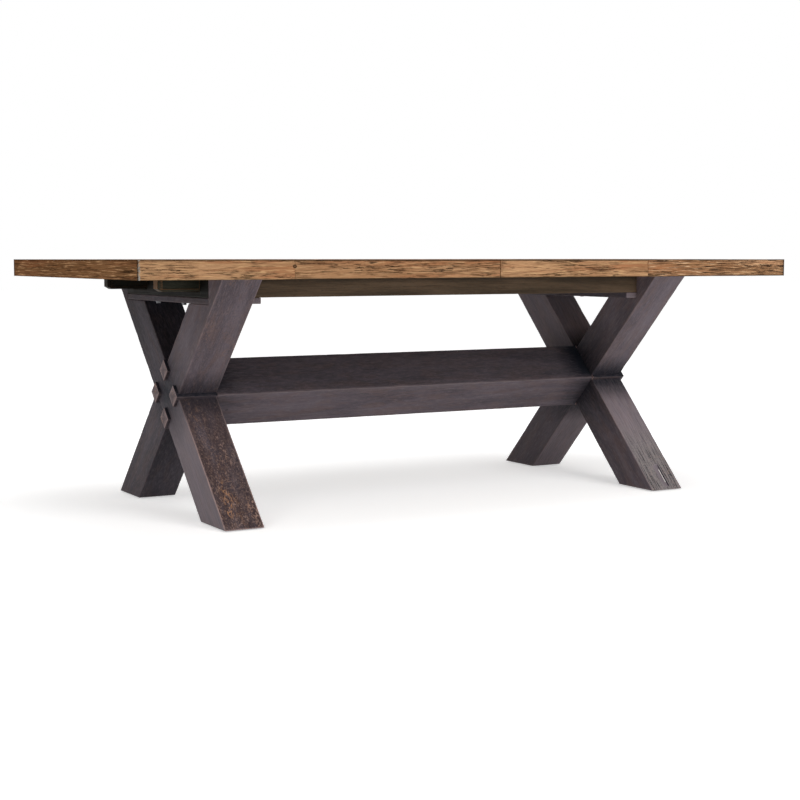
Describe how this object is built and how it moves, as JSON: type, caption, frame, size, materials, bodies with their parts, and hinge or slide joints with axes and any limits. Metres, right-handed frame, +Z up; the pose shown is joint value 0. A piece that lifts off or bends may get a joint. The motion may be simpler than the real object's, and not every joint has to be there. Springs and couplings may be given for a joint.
{
  "type": "trestle dining table",
  "caption": "Plank-top extension dining table on two X-shaped timber trestles joined by a square beam; the top parts at the middle and slides open on geared runners.",
  "frame": {"origin": "on the floor, under the middle of the table", "axes": "+X along the table towards the right-hand end, +Y from the front edge to the back edge, +Z up"},
  "size_m": [2.235, 1.168, 0.762],
  "materials": {
    "top_wood": "worn, low-sheen brown stain with dark streaks",
    "base_wood": "rubbed charcoal stain, cracked and flecked with brown",
    "frame_wood": "matt grey-brown stain",
    "slide_wood": "waxed, dark, with bare brown ends",
    "batten_wood": "bare sanded wood",
    "pin_wood": "turned beech, bare",
    "gear_steel": "zinc plated",
    "fastener_steel": "zinc plated",
    "glide_nylon": "matt black nylon"
  },
  "bodies": {
    "base": {"back_apron": "frame_wood", "back_slide_rail": "slide_wood", "block_bolts": "fastener_steel", "bolt_washers": "fastener_steel", "foot_glides": "glide_nylon", "frame_screws": "fastener_steel", "front_apron": "frame_wood", "front_slide_rail": "slide_wood", "left_back_leg": "base_wood", "left_cross_plate": "base_wood", "left_crossing_pegs": "base_wood", "left_end_rail": "frame_wood", "left_front_leg": "base_wood", "left_stretcher_block": "base_wood", "pinion_axles": "fastener_steel", "plate_bolts": "fastener_steel", "right_back_leg": "base_wood", "right_cross_plate": "base_wood", "right_crossing_pegs": "base_wood", "right_end_rail": "frame_wood", "right_front_leg": "base_wood", "right_stretcher_block": "base_wood", "stretcher_lower_back_board": "base_wood", "stretcher_lower_front_board": "base_wood", "stretcher_upper_back_board": "base_wood", "stretcher_upper_front_board": "base_wood"},
    "left_top": {"alignment_pins": "pin_wood", "back_left_runner": "slide_wood", "front_left_runner": "slide_wood", "left_back_edge": "top_wood", "left_cleats": "batten_wood", "left_end_board": "top_wood", "left_front_edge_inner": "top_wood", "left_front_edge_outer": "top_wood", "left_plank_1": "top_wood", "left_plank_2": "top_wood", "left_plank_3": "top_wood", "left_plank_4": "top_wood", "left_plank_5": "top_wood", "left_racks": "gear_steel", "left_seam_batten": "batten_wood", "left_top_screws": "fastener_steel"},
    "right_top": {"back_right_runner": "slide_wood", "front_right_runner": "slide_wood", "right_back_edge": "top_wood", "right_cleats": "batten_wood", "right_end_board": "top_wood", "right_front_edge_inner": "top_wood", "right_front_edge_outer": "top_wood", "right_plank_1": "top_wood", "right_plank_2": "top_wood", "right_plank_3": "top_wood", "right_plank_4": "top_wood", "right_plank_5": "top_wood", "right_racks": "gear_steel", "right_seam_batten": "batten_wood", "right_top_screws": "fastener_steel"},
    "front_pinion": {"front_pinion": "gear_steel"},
    "back_pinion": {"back_pinion": "gear_steel"}
  },
  "joints": [
    {"name": "left_top_slide", "type": "slide", "parent": "base", "child": "left_top", "axis": [-1, 0, 0], "range_m": [0, 0.457]},
    {"name": "right_top_slide", "type": "slide", "parent": "base", "child": "right_top", "axis": [1, 0, 0], "range_m": [0, 0.457]},
    {"name": "front_pinion_spin", "type": "hinge", "parent": "base", "child": "front_pinion", "pos_m": [0, -0.214, 0.682], "axis": [0, 0, -1], "range_deg": [0, 880]},
    {"name": "back_pinion_spin", "type": "hinge", "parent": "base", "child": "back_pinion", "pos_m": [0, 0.214, 0.682], "axis": [0, 0, -1], "range_deg": [0, 880]}
  ],
  "couplings": [
    {"joint": "right_top_slide", "follows": "left_top_slide", "ratio": 1},
    {"joint": "front_pinion_spin", "follows": "left_top_slide", "rad_per_m": 33.333},
    {"joint": "back_pinion_spin", "follows": "left_top_slide", "rad_per_m": 33.333}
  ]
}
